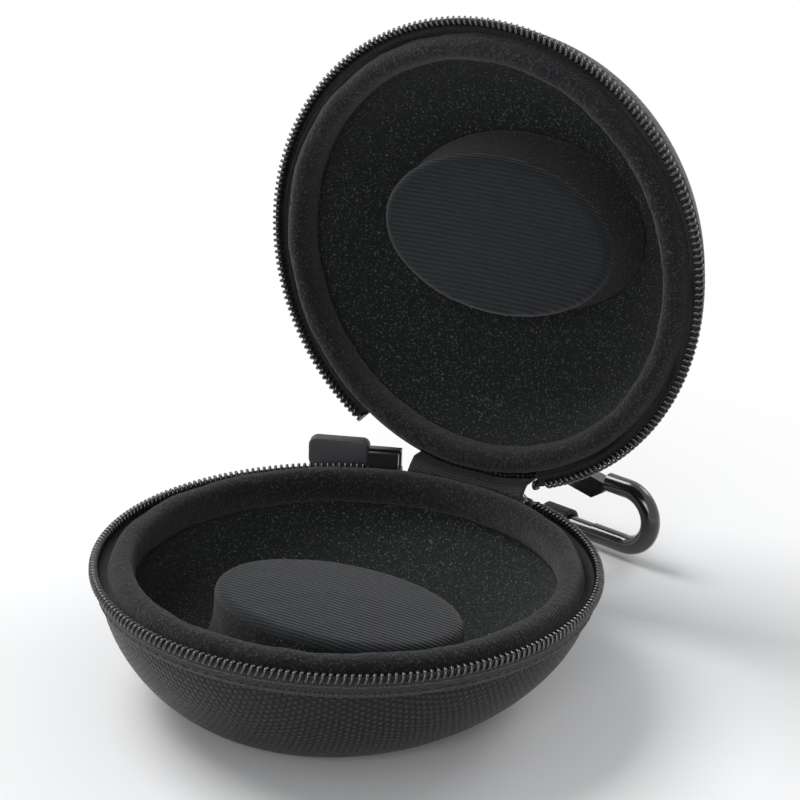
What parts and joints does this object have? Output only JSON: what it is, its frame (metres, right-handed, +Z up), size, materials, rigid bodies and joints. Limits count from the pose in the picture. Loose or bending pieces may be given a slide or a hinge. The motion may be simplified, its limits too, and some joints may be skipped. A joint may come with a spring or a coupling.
{
  "type": "watch travel case",
  "caption": "Round zipped hard case for one wristwatch: two moulded padded halves on a fabric hinge, a coil zip with slider and tab, and a carabiner on a webbing loop.",
  "frame": {"origin": "on the flat sole that the case stands on, under the centre of the zip ring", "axes": "+Z up, +X along the hinge to the right seen from the front, -Y to the front where the case opens"},
  "size_m": [0.1172, 0.1698, 0.1468],
  "materials": {
    "skin_fabric": "woven ballistic cloth laminated to foam, black",
    "foam": "moulded closed-cell EVA foam, dark grey",
    "velvet": "black speckled velvet lining",
    "fleece": "brushed fleece over a foam roll, black",
    "knit": "finely ribbed knit over a foam pad, black",
    "zip_tape": "woven polyester zip tape, black",
    "zip_coil": "black nylon coil, semi-gloss",
    "stop_metal": "black painted metal clips",
    "hinge_fabric": "woven hinge cloth, black",
    "slider_metal": "black painted die-cast slider with worn edges",
    "tab_plastic": "matte dark grey moulded tab",
    "webbing": "flat woven webbing, black",
    "carabiner_plastic": "glossy black moulded carabiner",
    "steel": "plain steel wire"
  },
  "bodies": {
    "base": {"base_shell": "skin_fabric", "base_core": "foam", "base_lining": "velvet", "base_rim_roll": "fleece", "base_pad": "knit", "base_zip_tape": "zip_tape", "base_zip_coil": "zip_coil", "base_end_stops": "stop_metal", "hinge_leaf_base": "hinge_fabric", "hinge_fold": "hinge_fabric", "hang_loop": "webbing"},
    "lid": {"lid_shell": "skin_fabric", "lid_core": "foam", "lid_lining": "velvet", "lid_rim_roll": "fleece", "lid_pad": "knit", "lid_zip_tape": "zip_tape", "lid_zip_coil": "zip_coil", "lid_end_stops": "stop_metal", "hinge_leaf_lid": "hinge_fabric"},
    "slider": {"zip_slider": "slider_metal", "slider_bridge": "slider_metal"},
    "tab": {"pull_tab": "tab_plastic"},
    "carabiner": {"carabiner_body": "carabiner_plastic", "gate_pin": "steel"},
    "gate": {"carabiner_gate": "carabiner_plastic", "gate_spring": "steel"}
  },
  "joints": [
    {"name": "lid_hinge", "type": "hinge", "parent": "base", "child": "lid", "pos_m": [0, 0.0562, 0.032], "axis": [1, 0, 0], "range_deg": [-6, 89]},
    {"name": "slider_travel", "type": "hinge", "parent": "base", "child": "slider", "pos_m": [0, 0, 0.032], "axis": [0, 0, 1], "range_deg": [0, 290]},
    {"name": "tab_swing", "type": "hinge", "parent": "slider", "child": "tab", "pos_m": [-0.02338, 0.05645, 0.032], "axis": [0, 0, -1], "range_deg": [0, 85]},
    {"name": "carabiner_swing", "type": "hinge", "parent": "base", "child": "carabiner", "pos_m": [-0.0072, 0.1073, 0.00385], "axis": [-0.9781, 0.2079, 0], "range_deg": [0, 175]},
    {"name": "gate_hinge", "type": "hinge", "parent": "carabiner", "child": "gate", "pos_m": [-0.00564, 0.10697, 0.01945], "axis": [0.2079, 0.9781, 0], "range_deg": [0, 20], "stiffness_Nm_per_rad": 0.03, "springref_deg": -17.19}
  ]
}
